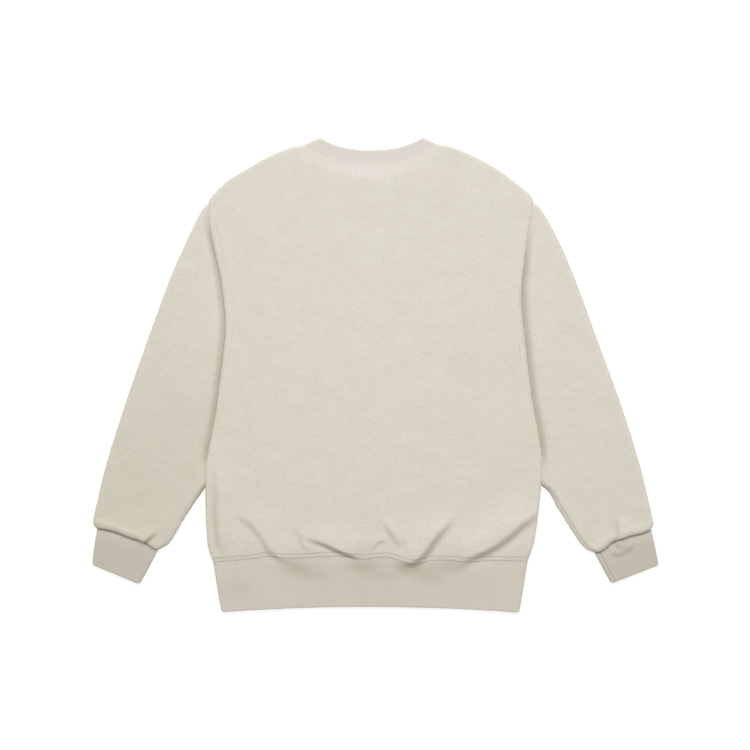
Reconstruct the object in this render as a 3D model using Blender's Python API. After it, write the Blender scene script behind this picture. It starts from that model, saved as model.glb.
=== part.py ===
"""Crewneck sweatshirt in short curly fleece with rib-knit trims, lying flat on its front.

Frame: metres, +Z up out of the garment's back, +Y towards the neck, +X to the right of
someone who looks down on the back. The origin is on the floor under the middle of the
garment's outline.

All sizes below are in millimetres. Plan points are (x, y) on the floor, measured from the
middle of the outline.
"""

from collections import namedtuple

import bmesh
import bpy
import numpy as np

MM = 0.001
STEPS = 16  # fine steps between two points of an outline

# Cloth
FLEECE = 3.4  # fleece with its pile standing
PRESSED = 1.8  # the same fleece where stitching holds the pile down
PRESSED_WIDTH = 7.0  # how far from a seam the pile stays down
RIB = 2.2  # rib knit, folded double
RIB_RELIEF = 0.7  # from the top of a rib to the bottom of its groove
GAP = 0.4  # between two pieces at a seam
NECK_GAP = 0.8  # the same at the neck seam, where both pieces are cut on a curve

# Heights of the flattened garment over the floor
BODY_SEAM_HEIGHT = 4.6  # where the side and shoulder seams lie
BODY_TOP = 9.2  # outer face of the back panel, away from its edges
BODY_EDGE_RADIUS = 5.5  # plan width of the rounded edge at the side and shoulder seams
BODY_AIR = 1.4  # what the air between the layers adds in the middle of the body
BODY_AIR_REACH = 70.0  # how far from the edge that lift is complete
SLEEVE_RISE = 5.2  # from the sleeve's fold up to its outer face
SLEEVE_FOLD_RADIUS = 8.0
ARMHOLE_DIP_RADIUS = 15.0  # the sleeve drops towards the armhole over this width
ARMHOLE_LEVEL = 0.3  # height left at the armhole, as a share of the sleeve's rise
SLEEVE_TOP = (10.5, 0.02)  # depth of its first row at the armhole, and lead of the outer fold

# The back neck sinks where the lower front neckline leaves nothing under it
NECK_DIP_CENTRE = (-6.0, 322.0)
NECK_DIP_DEPTH = 2.6
NECK_DIP_REACH = (46.0, 24.0)

# Outline of the body, from the hem seam up to the shoulder point
LEFT_SIDE = (
    (-235.8, -273.0),
    (-243.8, -252.6),
    (-246.7, -226.3),
    (-248.2, -175.2),
    (-247.6, -127.0),
    (-235.8, -62.8),
    (-224.1, 23.4),
    (-219.5, 73.0),
    (-224.1, 131.4),
    (-234.5, 182.5),
    (-242.2, 219.0),
    (-244.6, 251.1),
)
RIGHT_SIDE = (
    (222.4, -271.6),
    (230.8, -247.0),
    (235.6, -220.5),
    (240.9, -175.0),
    (243.4, -130.0),
    (238.4, -85.0),
    (229.2, -36.5),
    (220.5, 36.5),
    (213.6, 109.5),
    (217.1, 156.2),
    (223.4, 206.2),
    (230.7, 251.0),
)
SHOULDER_POINT = STEPS * (len(LEFT_SIDE) - 1)  # its place on the fine line of the outline
# Shoulders, from above the shoulder point to beside the neck
LEFT_SHOULDER = (
    (-230.7, 270.1),
    (-213.2, 284.7),
    (-188.3, 299.3),
    (-151.8, 319.7),
    (-120.0, 332.0),
)
RIGHT_SHOULDER = (
    (217.5, 270.1),
    (198.6, 284.7),
    (179.6, 299.3),
    (146.0, 319.7),
    (110.0, 333.2),
)

# Neck: the two folds at the sides of the neck, and how deep the necklines hang below them
NECK_SEAM_LEFT, NECK_SEAM_RIGHT = (-104.4, 334.3), (91.1, 335.8)
NECK_EDGE_LEFT, NECK_EDGE_RIGHT = (-81.2, 346.0), (70.1, 346.0)
BACK_NECK_DROP, BACK_EDGE_DROP = 34.0, 19.4
FRONT_NECK_DROP, FRONT_EDGE_DROP = 84.0, 70.0
BACK_NECK_POWER, FRONT_NECK_POWER = 2.0, 2.2  # 2 is a parabola, more is a squarer U
NECK_RIBS = 100

# Hem band
HEM_SEAM_LEFT, HEM_SEAM_RIGHT = (-235.8, -273.0 - GAP), (222.4, -271.6 - GAP)
HEM_EDGE_LEFT, HEM_EDGE_RIGHT = (-224.8, -345.8), (211.2, -346.4)
HEM_SEAM_RISE, HEM_EDGE_RISE = 5.0, 8.0  # both lines arch up in the middle
HEM_RIBS = 200

# Sleeves: outer fold from shoulder point to cuff, and inner fold from where it leaves the
# body to the cuff
SleeveCut = namedtuple("SleeveCut", "outer inner cuff_seam cuff_edge")
LEFT_SLEEVE = SleeveCut(
    outer=(
        (-244.6, 251.1),
        (-254.0, 240.9),
        (-274.5, 197.1),
        (-299.3, 138.7),
        (-331.4, 51.1),
        (-362.1, -36.5),
        (-389.8, -124.1),
        (-404.4, -182.5),
        (-410.8, -209.0),
        (-411.4, -218.5),
        (-407.4, -224.4),
    ),
    inner=(
        (-256.8, -177.4),
        (-268.6, -195.3),
        (-283.3, -218.7),
        (-297.0, -242.2),
        (-307.0, -250.6),
        (-316.0, -255.0),
    ),
    cuff_seam=((-407.2, -225.2), (-316.4, -255.8)),
    cuff_edge=((-414.4, -275.8), (-342.6, -305.6)),
)
RIGHT_SLEEVE = SleeveCut(
    outer=(
        (230.7, 251.0),
        (242.4, 240.9),
        (267.2, 197.1),
        (292.0, 138.7),
        (324.1, 51.1),
        (356.2, -36.5),
        (384.0, -124.1),
        (398.6, -182.5),
        (404.4, -208.0),
        (406.2, -217.5),
        (403.6, -224.0),
    ),
    inner=(
        (253.5, -171.0),
        (264.0, -190.0),
        (276.6, -211.7),
        (293.5, -240.9),
        (305.0, -254.6),
        (318.6, -259.8),
    ),
    cuff_seam=((403.4, -224.8), (319.2, -260.6)),
    cuff_edge=((414.8, -277.0), (342.2, -305.0)),
)
# Places along the body's side, as shares of its length from the hem to the shoulder point
NOTCH = 0.215  # the sleeve leaves the body's side
UNDERARM = 0.475  # the armhole ends, and the sleeve is a tube from here on
SIDE_ROWS = np.concatenate([np.linspace(NOTCH, 0.955, 10), [0.98]])  # shared by both pieces
TOP_ROWS = (0.9897, 0.9949, 0.9987, 1.0)  # over the rounded shoulder
CUFF_RIBS = 42

# Folds that stand up on the upper layer. Each runs from its upper end to its lower end, is
# steep on one side and soft on the other (side 1 is on the left of its run), and is bent
# sideways by its bow.
Fold = namedtuple("Fold", "x0 y0 x1 y1 bow height steep soft side")
FOLDS = (
    Fold(-200, -204, -150, -266, 7, 4.4, 6, 24, 1),
    Fold(-112, -230, -22, -268, -5, 4.8, 6, 24, 1),
    Fold(8, -208, 36, -256, 4, 3.4, 6, 20, 1),
    Fold(122, -206, 52, -276, 9, 5.0, 6, 24, -1),
    Fold(246, -190, 126, -276, 9, 5.2, 6, 26, -1),
    Fold(-330, -246, -316, -222, 2, 2.4, 5, 14, 1),
    Fold(360, -196, 358, -232, 2, 2.2, 5, 16, 1),
)
FOLD_FADE_ON_RIB = 0.62  # how much of a fold is gone at the free edge of a band

# Heights of the knitted bands: fold over the floor, and outer face over the fold
BandHeight = namedtuple("BandHeight", "fold rise")
HEM_SEAM_HEIGHT, HEM_EDGE_HEIGHT = BandHeight(4.2, 3.1), BandHeight(2.8, 2.6)
CUFF_SEAM_HEIGHT, CUFF_EDGE_HEIGHT = BandHeight(4.0, 3.4), BandHeight(2.9, 2.7)
NECK_SEAM_HEIGHT, NECK_EDGE_HEIGHT = BandHeight(4.4, 3.2), BandHeight(3.8, 3.0)
BAND_FOLD_RADIUS = 5.0

# Colours
FLEECE_COLOUR = (0.72, 0.67, 0.58)
RIB_COLOUR = (0.60, 0.54, 0.46)


# ---------------------------------------------------------------- curves on the floor
def smooth_line(points):
    """A fine line through the points, rounded between them."""
    p = np.array(points, float)
    p = np.vstack([2 * p[0] - p[1], p, 2 * p[-1] - p[-2]])
    t = np.linspace(0, 1, STEPS, endpoint=False)[:, None]
    spans = []
    for a, b, c, d in zip(p[:-3], p[1:-2], p[2:-1], p[3:]):
        spans.append(
            0.5 * (2 * b + (c - a) * t + (2 * a - 5 * b + 4 * c - d) * t**2
                   + (3 * b - a - 3 * c + d) * t**3)
        )
    return np.vstack([*spans, p[-2]])


def length_along(line):
    """Distance from the start of a line to each of its points."""
    steps = np.linalg.norm(np.diff(line, axis=0), axis=1)
    return np.concatenate([[0.0], np.cumsum(steps)])


def spaced(line, shares):
    """Points at the given shares of a line's length."""
    along = length_along(line)
    where = np.asarray(shares, float) * along[-1]
    return np.stack([np.interp(where, along, line[:, k]) for k in range(line.shape[1])], -1)


def moved_aside(line, distance):
    """The line moved to the left of its direction, by a distance."""
    run = np.gradient(line, axis=0)
    run /= np.linalg.norm(run, axis=1)[:, None]
    return line + distance * np.stack([-run[:, 1], run[:, 0]], -1)


def hanging_line(left, right, drop, power, steps=60):
    """A line between two points that hangs below them, as a neckline does."""
    share = np.linspace(0, 1, steps)[:, None]
    chord = np.array(left) * (1 - share) + np.array(right) * share
    sag = drop * (1 - np.abs(2 * share - 1) ** power)
    return chord - sag * np.array([[0.0, 1.0]])


def distance_to(line, plan):
    """How far each plan point is from a line, and the direction to the left of the line."""
    start, run = line[:-1], np.diff(line, axis=0)
    flat = plan.reshape(-1, 1, 2)
    share = ((flat - start) * run).sum(-1) / (run**2).sum(-1)
    nearest = start + np.clip(share, 0, 1)[..., None] * run
    far = np.linalg.norm(nearest - flat, axis=-1)
    best = far.argmin(axis=1)
    run = run[best] / np.linalg.norm(run[best], axis=1)[:, None]
    left = np.stack([-run[:, 1], run[:, 0]], -1)
    return far.min(axis=1).reshape(plan.shape[:-1]), left.reshape(plan.shape)


# ---------------------------------------------------------------- height of the cloth
def fold_lift(plan):
    """How far the folds lift the upper layer at each plan point."""
    lift = np.zeros(plan.shape[:-1])
    for fold in FOLDS:
        start, run = np.array([fold.x0, fold.y0]), np.array([fold.x1 - fold.x0, fold.y1 - fold.y0])
        length = np.linalg.norm(run)
        along = (plan - start) @ run / length**2
        aside = (plan - start) @ np.array([-run[1], run[0]]) / length
        hump = np.clip(4 * along * (1 - along), 0, None)
        off = (aside - fold.bow * hump) * fold.side
        steep = np.clip(off / fold.steep, 0, 1)
        steep = steep * steep * (3 - 2 * steep)
        lift += fold.height * hump**0.8 * steep * np.exp(-((off / fold.soft) ** 2))
    return lift


def neck_dip(plan):
    """How far the back neck sinks at each plan point."""
    off = (plan - np.array(NECK_DIP_CENTRE)) / np.array(NECK_DIP_REACH)
    return NECK_DIP_DEPTH * np.exp(-(off**2).sum(-1))


def pile_wall(seam_distance):
    """Thickness of the fleece at a distance from its stitched edge."""
    return FLEECE - (FLEECE - PRESSED) * np.exp(-((seam_distance / PRESSED_WIDTH) ** 2))


# ---------------------------------------------------------------- solids
def zip_strip(bm, first, second):
    """Faces between two runs of vertices that lie side by side."""
    i = j = 0
    while i < len(first) - 1 or j < len(second) - 1:
        next_i = (i + 0.5) / (len(first) - 1) if i < len(first) - 1 else 2
        next_j = (j + 0.5) / (len(second) - 1) if j < len(second) - 1 else 2
        step_i, step_j = next_i <= next_j + 1e-9, next_j <= next_i + 1e-9
        corners = [first[i], second[j]]
        if step_j:
            corners.append(second[j + 1])
        if step_i:
            corners.append(first[i + 1])
        bm.faces.new(corners)
        i, j = i + step_i, j + step_j


def add_skin(bm, points):
    """Vertices and faces of one side of the cloth, as rows of points."""
    rows = [[bm.verts.new(p * MM) for p in row] for row in points]
    for a, b in zip(rows, rows[1:]):
        for k in range(len(a) - 1):
            corners = [a[k], a[k + 1], b[k + 1], b[k]]
            if k < len(a) // 2:
                corners = corners[1:] + corners[:1]
            bm.faces.new(corners)
    return rows


def cloth_solid(name, outer, inner, open_rows, material):
    """A closed wall between an outer and an inner skin. Up to open_rows the first and last
    columns are free edges with a rim. Past it they meet, and the cloth is a tube there."""
    bm = bmesh.new()
    skins = [add_skin(bm, outer), add_skin(bm, inner)]
    zip_strip(bm, skins[0][0], skins[1][0])
    zip_strip(bm, skins[0][-1], skins[1][-1])
    for column in (0, -1):
        if open_rows:
            zip_strip(bm, *[[row[column] for row in skin[:open_rows]] for skin in skins])
    bmesh.ops.remove_doubles(bm, verts=bm.verts, dist=1e-6)
    bmesh.ops.recalc_face_normals(bm, faces=bm.faces)
    mesh = bpy.data.meshes.new(name)
    bm.to_mesh(mesh)
    bm.free()
    mesh.shade_smooth()
    mesh.set_sharp_from_angle(angle=np.radians(30))
    mesh.materials.append(material)
    obj = bpy.data.objects.new(name, mesh)
    bpy.context.scene.collection.objects.link(obj)
    return obj


def material(name, colour, roughness):
    made = bpy.data.materials.new(name)
    made.use_nodes = True
    shader = made.node_tree.nodes["Principled BSDF"]
    shader.inputs["Base Color"].default_value = (*colour, 1)
    shader.inputs["Roughness"].default_value = roughness
    shader.inputs["Metallic"].default_value = 0
    return made


# ---------------------------------------------------------------- body panels
def edge_shares(length, radius, middle, steps=3):
    """Shares of a length, close together over the rounded edges and even between them."""
    turn = np.radians(90) * np.arange(steps + 1) / steps
    edge = radius * (1 - np.cos(turn)) / length
    return np.concatenate([edge, np.linspace(edge[-1], 1 - edge[-1], middle + 1)[1:-1],
                           1 - edge[::-1]])


def panel_plan(neckline, columns, rows):
    """Plan points of a body panel, rows from the hem seam up to the shoulders and neck."""
    hem = hanging_line(LEFT_SIDE[0], RIGHT_SIDE[0], -HEM_SEAM_RISE, 2)
    folded = (
        smooth_line([*LEFT_SIDE, *LEFT_SHOULDER, neckline[0]]),
        smooth_line([*RIGHT_SIDE, *RIGHT_SHOULDER, neckline[-1]]),
    )
    left, right = folded[0][: SHOULDER_POINT + 1], folded[1][: SHOULDER_POINT + 1]
    shoulders = folded[0][SHOULDER_POINT:], folded[1][SHOULDER_POINT:][::-1]
    on_shoulder, on_neck = columns
    shares = [
        edge_shares(length_along(shoulders[0])[-1], BODY_EDGE_RADIUS, on_shoulder)[:-4],
        np.linspace(0, 1, on_neck + 1),
    ]
    shares.append(1 - shares[0][::-1])
    top = np.vstack([spaced(shoulders[0], shares[0]), spaced(neckline, shares[1]),
                     spaced(shoulders[1], shares[2])])
    u = length_along(top) / length_along(top)[-1]
    v = rows[:, None]
    bottom = spaced(hem, u)
    left, right = spaced(left, rows)[:, None], spaced(right, rows)[:, None]
    u = u[None, :, None]
    v = v[:, :, None]
    corners = ((1 - u) * (1 - v) * bottom[0] + u * (1 - v) * bottom[-1]
               + (1 - u) * v * top[0] + u * v * top[-1])
    plan = (1 - v) * bottom + v * top + (1 - u) * left + u * right - corners
    return plan, folded, (hem, neckline)


def body_panel(name, neckline, upper, columns, near_hem, fleece):
    """The back panel (upper) or the front panel under it."""
    neckline = moved_aside(neckline, -NECK_GAP)
    rows = np.concatenate([np.linspace(0, NOTCH, near_hem + 1)[:-1], SIDE_ROWS, TOP_ROWS])
    plan, folded, stitched = panel_plan(neckline, columns, rows)
    (far_left, left), (far_right, right) = [distance_to(line, plan) for line in folded]
    edge = np.minimum(far_left, far_right)
    outward = np.where((far_left < far_right)[..., None], left, -right)
    cos = np.clip(1 - edge / BODY_EDGE_RADIUS, 0, 1)
    sin = np.sqrt(1 - cos**2)
    rise = (BODY_TOP - BODY_SEAM_HEIGHT if upper else BODY_SEAM_HEIGHT) - GAP / 2
    way = 1 if upper else -1
    seam = np.minimum(*[distance_to(line, plan)[0] for line in stitched])
    wall = pile_wall(np.minimum(seam, edge + PRESSED_WIDTH * 0.5))
    normal = np.dstack([outward * (cos / BODY_EDGE_RADIUS)[..., None], sin / rise])
    normal /= np.linalg.norm(normal, axis=-1)[..., None]
    outer_height = rise * sin
    if upper:
        outer_height = outer_height - (FLEECE - wall) * sin
        air = BODY_AIR * np.clip(edge / BODY_AIR_REACH, 0, 1)
        outer_height = outer_height + sin * (air + fold_lift(plan) - neck_dip(plan))
    outer = np.dstack([plan, BODY_SEAM_HEIGHT + way * (GAP / 2 + outer_height)])
    normal[..., 2] *= way
    inner = outer - wall[..., None] * normal
    return cloth_solid(name, outer, inner, len(outer), fleece)


# ---------------------------------------------------------------- flattened tubes
Flat = namedtuple("Flat", "near far fold rise drop near_radius far_radius level")


def across(width, radius, steps, middle):
    """Columns across a flattened tube: distance from the near fold, and height share."""
    turn = np.radians(90) * np.arange(steps + 1) / steps
    near, far = radius[0] * (1 - np.cos(turn)), width - radius[1] * (1 - np.cos(turn))
    flat = np.linspace(near[-1], far[-1], middle + 2)[1:-1]
    distance = np.concatenate([near, flat, far[::-1]])
    height = np.concatenate([np.sin(turn), np.ones(middle), np.sin(turn)[::-1]])
    return distance, height


def flat_section(flat, inset, steps, middle, bows=(None, None)):
    """One section of a flattened tube: over its upper layer from the near fold to the far
    fold, and back under its lower layer. An inset gives the inner side of its wall."""
    near, far = np.array(flat.near, float), np.array(flat.far, float)
    width = np.linalg.norm(far - near)
    run = (far - near) / width
    inset_plan = min(inset, 0.3 * width)
    radius = [max(min(r, 0.45 * width) - inset_plan, 0.3) for r in (flat.near_radius, flat.far_radius)]
    near_inset = inset_plan * (1 - flat.level)
    distance, height = across(width - near_inset - inset_plan, radius, steps, middle)
    share = (distance + near_inset) / width
    height = np.where(share < 0.5, np.maximum(height, flat.level), height)
    plan = near + run * (distance + near_inset)[:, None]
    layers = []
    for way, reach, bow in ((1, flat.rise, bows[0]), (-1, flat.drop, bows[1])):
        shown = plan if bow is None else plan - bow(share)[:, None] * np.array([[0.0, 1.0]])
        layers.append(np.column_stack([shown, flat.fold + way * max(reach - inset, 0.2) * height]))
    return np.vstack([layers[0], layers[1][::-1][1:]]), len(plan)


def sleeve(name, cut, side, turn, fleece):
    """A sleeve from the armhole to the cuff seam, beside a side of the body. turn is 1 on
    the left and -1 on the right. Down to the underarm it is open towards the body, and
    below it is a tube."""
    side_rows = SIDE_ROWS[::-1]
    side = smooth_line(side)[: SHOULDER_POINT + 1]
    armhole = spaced(moved_aside(side, turn * GAP), side_rows)
    free = smooth_line([armhole[-1], *cut.inner])
    near = np.vstack([armhole, spaced(free, (0.2, 0.4, 0.6, 0.76, 0.88, 0.95, 1.0))])
    along = length_along(near)
    to_cuff = along[-1] - along
    shares = (along + SLEEVE_TOP[0]) / (along[-1] + SLEEVE_TOP[0])
    far = spaced(smooth_line(cut.outer), shares - SLEEVE_TOP[1] * np.exp(-shares / 0.05))
    open_rows = int((side_rows > UNDERARM).sum()) + 1
    opening = np.clip((side_rows - side_rows[open_rows - 1]) / 0.12, 0, 1)
    opening = np.concatenate([opening, np.zeros(len(near) - len(armhole))])
    skins = ([], [])
    for k in range(len(near)):
        end = np.clip(1 - to_cuff[k] / 30, 0, 1)
        rise = SLEEVE_RISE * (1 - 0.28 * end**2)
        near_radius = SLEEVE_FOLD_RADIUS + (ARMHOLE_DIP_RADIUS - SLEEVE_FOLD_RADIUS) * opening[k]
        flat = Flat(near[k], far[k], BODY_SEAM_HEIGHT, rise, BODY_SEAM_HEIGHT, near_radius,
                    SLEEVE_FOLD_RADIUS, ARMHOLE_LEVEL * opening[k])
        wall = pile_wall(to_cuff[k])
        for skin, inset in zip(skins, (0.0, wall)):
            section, upper = flat_section(flat, inset, 3, 5)
            weight = np.clip((section[:, 2] - flat.fold) / max(rise - inset, 0.2), 0, 1)
            weight[upper:] = 0
            section[:, 2] += weight * (fold_lift(section[:, :2]) + 0.5 * (1 - end) + wall - FLEECE)
            skin.append(section)
    return cloth_solid(name, *skins, open_rows, fleece)


def rib_band(name, seam, edge, heights, ribs, rows, knit, drops=((0, 0), (0, 0)), powers=(2, 2)):
    """A flattened tube of rib knit from its seam to its free edge. seam and edge are its two
    folds there, and drops say how far its upper and lower layers hang between them."""
    outer, inner = [], []
    for share in np.linspace(0, 1, rows + 1):
        near, far = (np.array(seam[k]) * (1 - share) + np.array(edge[k]) * share for k in (0, 1))
        fold = heights[0].fold * (1 - share) + heights[1].fold * share
        rise = heights[0].rise * (1 - share) + heights[1].rise * share
        relief = RIB_RELIEF / 2
        hang = [drops[0][k] * (1 - share) + drops[1][k] * share for k in (0, 1)]
        bows = [lambda s, h=h, p=p: h * (1 - np.abs(2 * s - 1) ** p) for h, p in zip(hang, powers)]
        flat = Flat(near, far, fold, rise, fold - relief, BAND_FOLD_RADIUS, BAND_FOLD_RADIUS, 0)
        for skin, inset, count in ((outer, 0.0, 2 * ribs), (inner, RIB, ribs // 2)):
            loop, upper = flat_section(flat, inset, 6, 60, bows)
            weight = np.clip((loop[:, 2] - fold) / max(rise - inset, 0.2), 0, 1)
            lift = fold_lift(loop[:, :2]) * (1 - FOLD_FADE_ON_RIB * share)
            if name == "neck_rib":
                lift = lift - neck_dip(loop[:, :2])
            loop[:, 2] += lift * weight
            ring = spaced(loop, np.linspace(0, 1, count + 1))
            if skin is outer:
                across_run = np.gradient(np.vstack([ring[-2], ring, ring[1]]), axis=0)[1:-1]
                axis = np.append(np.mean(edge, axis=0) - np.mean(seam, axis=0), 0)
                out = np.cross(axis, across_run)
                out *= np.sign(out[count // 4, 2]) / np.linalg.norm(out, axis=1)[:, None]
                ring = ring + relief * np.where(np.arange(count + 1) % 2, 1, -1)[:, None] * out
            ring[-1] = ring[0]
            skin.append(ring)
    return cloth_solid(name, outer, inner, 0, knit)


def main():
    for obj in list(bpy.data.objects):
        bpy.data.objects.remove(obj)
    fleece = material("fleece", FLEECE_COLOUR, 0.95)
    knit = material("rib_knit", RIB_COLOUR, 0.85)
    back_neck = hanging_line(NECK_SEAM_LEFT, NECK_SEAM_RIGHT, BACK_NECK_DROP, BACK_NECK_POWER)
    front_neck = hanging_line(NECK_SEAM_LEFT, NECK_SEAM_RIGHT, FRONT_NECK_DROP, FRONT_NECK_POWER)
    pieces = [
        body_panel("back_panel", back_neck, True, (9, 14), 9, fleece),
        body_panel("front_panel", front_neck, False, (4, 16), 2, fleece),
        sleeve("sleeve_left", LEFT_SLEEVE, LEFT_SIDE + LEFT_SHOULDER, 1, fleece),
        sleeve("sleeve_right", RIGHT_SLEEVE, RIGHT_SIDE + RIGHT_SHOULDER, -1, fleece),
        rib_band("neck_rib", (NECK_SEAM_LEFT, NECK_SEAM_RIGHT), (NECK_EDGE_LEFT, NECK_EDGE_RIGHT),
                 (NECK_SEAM_HEIGHT, NECK_EDGE_HEIGHT), NECK_RIBS, 2, knit,
                 ((BACK_NECK_DROP, FRONT_NECK_DROP), (BACK_EDGE_DROP, FRONT_EDGE_DROP)),
                 (BACK_NECK_POWER, FRONT_NECK_POWER)),
        rib_band("hem_rib", (HEM_SEAM_LEFT, HEM_SEAM_RIGHT), (HEM_EDGE_LEFT, HEM_EDGE_RIGHT),
                 (HEM_SEAM_HEIGHT, HEM_EDGE_HEIGHT), HEM_RIBS, 2, knit,
                 ((-HEM_SEAM_RISE,) * 2, (-HEM_EDGE_RISE,) * 2)),
        rib_band("cuff_left", LEFT_SLEEVE.cuff_seam, LEFT_SLEEVE.cuff_edge,
                 (CUFF_SEAM_HEIGHT, CUFF_EDGE_HEIGHT), CUFF_RIBS, 2, knit),
        rib_band("cuff_right", RIGHT_SLEEVE.cuff_seam, RIGHT_SLEEVE.cuff_edge,
                 (CUFF_SEAM_HEIGHT, CUFF_EDGE_HEIGHT), CUFF_RIBS, 2, knit),
    ]
    garment = bpy.data.objects.new("sweatshirt", None)
    bpy.context.scene.collection.objects.link(garment)
    corners = np.array([c for piece in pieces for c in piece.bound_box])
    low, high = corners.min(axis=0), corners.max(axis=0)
    garment.location = (-(low[0] + high[0]) / 2, -(low[1] + high[1]) / 2, -low[2])
    for piece in pieces:
        piece.parent = garment


main()
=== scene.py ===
import math

import bmesh
import bpy
import numpy as np
from mathutils import Matrix, Vector


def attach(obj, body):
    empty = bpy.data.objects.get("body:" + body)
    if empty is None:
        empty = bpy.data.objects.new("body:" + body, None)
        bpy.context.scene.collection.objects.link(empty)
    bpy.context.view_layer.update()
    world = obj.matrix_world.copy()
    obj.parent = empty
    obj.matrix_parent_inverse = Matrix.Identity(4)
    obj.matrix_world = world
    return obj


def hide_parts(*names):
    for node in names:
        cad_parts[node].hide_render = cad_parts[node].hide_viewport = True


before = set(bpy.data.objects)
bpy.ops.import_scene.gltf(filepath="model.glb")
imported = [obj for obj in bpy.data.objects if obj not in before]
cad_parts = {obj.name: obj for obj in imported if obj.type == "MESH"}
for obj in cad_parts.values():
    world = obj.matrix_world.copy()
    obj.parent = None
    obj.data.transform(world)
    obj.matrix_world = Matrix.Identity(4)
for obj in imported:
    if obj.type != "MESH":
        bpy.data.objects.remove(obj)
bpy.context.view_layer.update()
print("frame loaded")

mm = 0.001
lineSteps = 16  # fine steps between two points of an outline
seamLevel = 4.6  # height of the sleeve folds over the floor, mm
seamOverlap = 0.8  # how far the fleece reaches over the neck seam, mm

# outline of the body from the hem seam up, mm from the middle of the whole garment
bodyOutline = {
    "leftSide": (
        (-235.8, -273.0), (-242.8, -252.6), (-245.5, -226.3), (-247.2, -175.2),
        (-245.6, -127.0), (-233.7, -62.8), (-222.2, 23.4), (-218.2, 73.0),
        (-223.7, 131.4), (-234.5, 182.5), (-241.6, 219.0), (-242.8, 249.6),
    ),
    "rightSide": (
        (222.4, -271.6), (230.8, -247.0), (235.6, -220.5), (240.9, -175.0),
        (243.4, -130.0), (238.4, -85.0), (229.2, -36.5), (220.5, 36.5),
        (213.6, 109.5), (217.1, 156.2), (223.4, 206.2), (230.7, 251.0),
    ),
    "leftShoulder": (
        (-230.0, 268.6), (-213.2, 283.9), (-188.3, 299.3), (-151.8, 319.7), (-120.0, 332.0),
    ),
    "rightShoulder": (
        (217.5, 270.1), (198.6, 284.7), (179.6, 298.9), (145.4, 318.3), (110.0, 332.6),
    ),
    "hemArch": 5.0,
}
shoulderPoint = lineSteps * (len(bodyOutline["leftSide"]) - 1)

neckShape = {
    "seam": ((-104.4, 334.3), (91.1, 335.8)),
    "edge": ((-81.2, 346.0), (70.1, 346.0)),
    "backDrop": (34.0, 18.2),  # at the seam and at the free edge
    "frontDrop": (84.0, 70.0),
    "backPower": (2.0, 2.5),  # 2 is a parabola, more is squarer
    "frontPower": (2.2, 2.2),
    "dip": (-6.0, 322.0, 46.0, 24.0, 2.6),  # centre, reach and depth of the sunk back neck
}

# folds of the upper layer: crease, side of the hump, height, steep side, soft side,
# shares of the crease over which it starts and ends, and how dark its painted shade is
folds = (
    (((-210, -196), (-192, -210), (-178, -222), (-166, -238), (-155, -256), (-140, -268),
      (-122, -276), (-104, -286)), 1, 2.8, 9.0, 28, 0.3, 0.3, 0.12),
    (((-112, -233), (-91, -241), (-72, -248), (-55, -256), (-38, -263), (-20, -270)),
     1, 4.6, 6.5, 28, 0.5, 0.2, 0.34),
    (((-118, -218), (-110, -233), (-104, -249), (-92, -265)), 1, 1.5, 6.0, 14, 0.4, 0.4, 0.12),
    (((8, -210), (20, -227), (29, -239), (38, -256)), 1, 2.4, 8.0, 20, 0.4, 0.4, 0.16),
    (((-6, -262), (-1, -250), (8, -243), (22, -241)), 1, 1.6, 5.0, 10, 0.4, 0.4, 0.1),
    (((124, -199), (109, -216), (97, -229), (86, -243), (74, -259), (58, -274), (39, -277),
      (18, -270)), -1, 6.2, 11.0, 30, 0.4, 0.35, 0.26),
    (((262, -184), (236, -204), (215, -220), (195, -237), (172, -253), (145, -266), (126, -278),
      (104, -292)), -1, 6.2, 11.5, 36, 0.4, 0.35, 0.23),
    (((-230, -130), (-232, -183), (-231, -212), (-226, -249), (-211, -268)), 1, 3.6, 11.0, 20, 0.3,
     0.3, 0.2),
    (((-339, -246), (-331, -240), (-323, -233), (-314, -227)), 1, 1.8, 4.8, 14, 0.05, 0.6, 0.9),
    (((352, -200), (354, -227), (350, -252)), 1, 3.6, 8.0, 16, 0.5, 0.1, 0.2),
    (((338, -257), (350, -262), (361, -260), (372, -253), (381, -240)), 1, 2.4, 5.0, 10, 0.3, 0.3,
     0.34),
)

# section of a fold, in shares of its steep side
foldShape = {
    "reach": 2.3,  # in shares of the soft side
    "foot": (0.16, 0.7, 0.6),  # the trough before it: depth by the height, place, width
    "dark": (0.2, 0.55),  # place and width of the painted shade
}

# dents of the hem rib where those folds push on it: x, y, reaches, depth, how dark the painted
# shade in it is; the one without depth is painted shade alone
hemDents = (
    (-114, -284, 24, 11, 1.2, 0.42), (-88, -296, 24, 10, 0.6, 0.22),
    (-18, -281, 24, 10, 1.2, 0.44), (6, -296, 24, 8, 0.6, 0.2),
    (54, -284, 26, 11, 1.4, 0.5), (108, -283, 22, 9, 1.0, 0.3), (82, -299, 20, 9, 0.6, 0.22),
    (-205, -318, 26, 20, 1.0, 0.14), (10, -310, 100, 40, 0.0, 0.07),
)


def smoothLine(points):
    p = np.array(points, float)
    p = np.vstack([2 * p[0] - p[1], p, 2 * p[-1] - p[-2]])
    t = np.linspace(0, 1, lineSteps, endpoint=False)[:, None]
    spans = []
    for a, b, c, d in zip(p[:-3], p[1:-2], p[2:-1], p[3:]):
        spans.append(0.5 * (2 * b + (c - a) * t + (2 * a - 5 * b + 4 * c - d) * t**2
                            + (3 * b - a - 3 * c + d) * t**3))
    return np.vstack([*spans, p[-2]])


def lengthAlong(line):
    steps = np.linalg.norm(np.diff(line, axis=0), axis=1)
    return np.concatenate([[0.0], np.cumsum(steps)])


def onLine(line, share):
    along = lengthAlong(line)
    where = np.clip(share, 0, 1) * along[-1]
    return np.stack([np.interp(where, along, line[:, k]) for k in (0, 1)], -1)


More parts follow.
